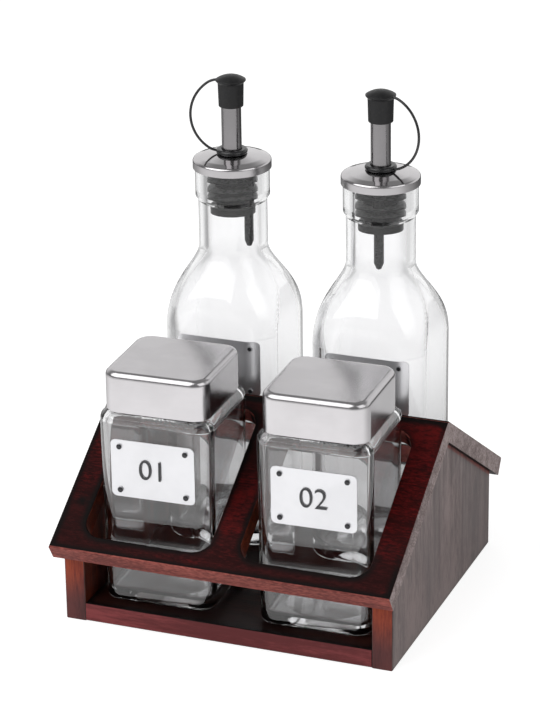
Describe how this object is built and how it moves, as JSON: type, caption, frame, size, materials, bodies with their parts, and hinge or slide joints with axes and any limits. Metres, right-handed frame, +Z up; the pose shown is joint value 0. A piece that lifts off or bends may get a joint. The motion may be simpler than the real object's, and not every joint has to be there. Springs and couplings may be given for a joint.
{
  "type": "cruet stand",
  "caption": "Gabled dark wood cruet stand holding two square glass jars with pull-off steel lids in front and two square glass bottles with capped steel pourers behind.",
  "frame": {"origin": "middle of the stand's underside", "axes": "+X to the right as seen from the front, +Y to the back, +Z up; the jars are in front, at -Y"},
  "size_m": [0.1472, 0.1466, 0.2101],
  "materials": {
    "wood": "dark mahogany stain under satin lacquer",
    "dowel_wood": "bare beech",
    "clear_glass": "clear moulded glass",
    "lid_steel": "polished stainless steel",
    "polished_steel": "polished stainless steel",
    "label_metal": "bright satin plate",
    "liner_plastic": "natural polyethylene",
    "black_plastic": "black moulded plastic",
    "black_rubber": "satin black rubber"
  },
  "bodies": {
    "stand": {"left_side_panel": "wood", "right_side_panel": "wood", "base_board": "wood", "front_roof_panel": "wood", "rear_roof_panel": "wood", "base_dowels": "dowel_wood", "roof_dowels": "dowel_wood"},
    "salt_jar_body": {"salt_jar": "clear_glass", "salt_label": "label_metal"},
    "salt_lid_body": {"salt_lid_shell": "lid_steel", "salt_lid_liner": "liner_plastic"},
    "pepper_jar_body": {"pepper_jar": "clear_glass", "pepper_label": "label_metal"},
    "pepper_lid_body": {"pepper_lid_shell": "lid_steel", "pepper_lid_liner": "liner_plastic"},
    "oil_bottle_body": {"oil_bottle": "clear_glass", "oil_label": "label_metal"},
    "oil_pourer_body": {"oil_pourer_disc": "polished_steel", "oil_stopper": "black_rubber", "oil_spout_tube": "polished_steel", "oil_air_tube": "black_plastic", "oil_strap_ring": "black_rubber", "oil_strap": "black_rubber"},
    "oil_cap_body": {"oil_dust_cap": "black_rubber"},
    "vinegar_bottle_body": {"vinegar_bottle": "clear_glass", "vinegar_label": "label_metal"},
    "vinegar_pourer_body": {"vinegar_pourer_disc": "polished_steel", "vinegar_stopper": "black_rubber", "vinegar_spout_tube": "polished_steel", "vinegar_air_tube": "black_plastic", "vinegar_strap_ring": "black_rubber", "vinegar_strap": "black_rubber"},
    "vinegar_cap_body": {"vinegar_dust_cap": "black_rubber"}
  },
  "joints": [
    {"name": "salt_jar_lift", "type": "slide", "parent": "stand", "child": "salt_jar_body", "axis": [0, 0, 1], "range_m": [0, 0.09]},
    {"name": "salt_lid_pull", "type": "slide", "parent": "salt_jar_body", "child": "salt_lid_body", "axis": [0, 0, 1], "range_m": [0, 0.02]},
    {"name": "pepper_jar_lift", "type": "slide", "parent": "stand", "child": "pepper_jar_body", "axis": [0, 0, 1], "range_m": [0, 0.09]},
    {"name": "pepper_lid_pull", "type": "slide", "parent": "pepper_jar_body", "child": "pepper_lid_body", "axis": [0, 0, 1], "range_m": [0, 0.02]},
    {"name": "oil_bottle_lift", "type": "slide", "parent": "stand", "child": "oil_bottle_body", "axis": [0, 0, 1], "range_m": [0, 0.09]},
    {"name": "oil_pourer_pull", "type": "slide", "parent": "oil_bottle_body", "child": "oil_pourer_body", "axis": [0, 0, 1], "range_m": [0, 0.045]},
    {"name": "oil_cap_pull", "type": "slide", "parent": "oil_pourer_body", "child": "oil_cap_body", "axis": [0, 0, 1], "range_m": [0, 0.01], "deforming": ["oil_strap"]},
    {"name": "vinegar_bottle_lift", "type": "slide", "parent": "stand", "child": "vinegar_bottle_body", "axis": [0, 0, 1], "range_m": [0, 0.09]},
    {"name": "vinegar_pourer_pull", "type": "slide", "parent": "vinegar_bottle_body", "child": "vinegar_pourer_body", "axis": [0, 0, 1], "range_m": [0, 0.045]},
    {"name": "vinegar_cap_pull", "type": "slide", "parent": "vinegar_pourer_body", "child": "vinegar_cap_body", "axis": [0, 0, 1], "range_m": [0, 0.01], "deforming": ["vinegar_strap"]}
  ]
}
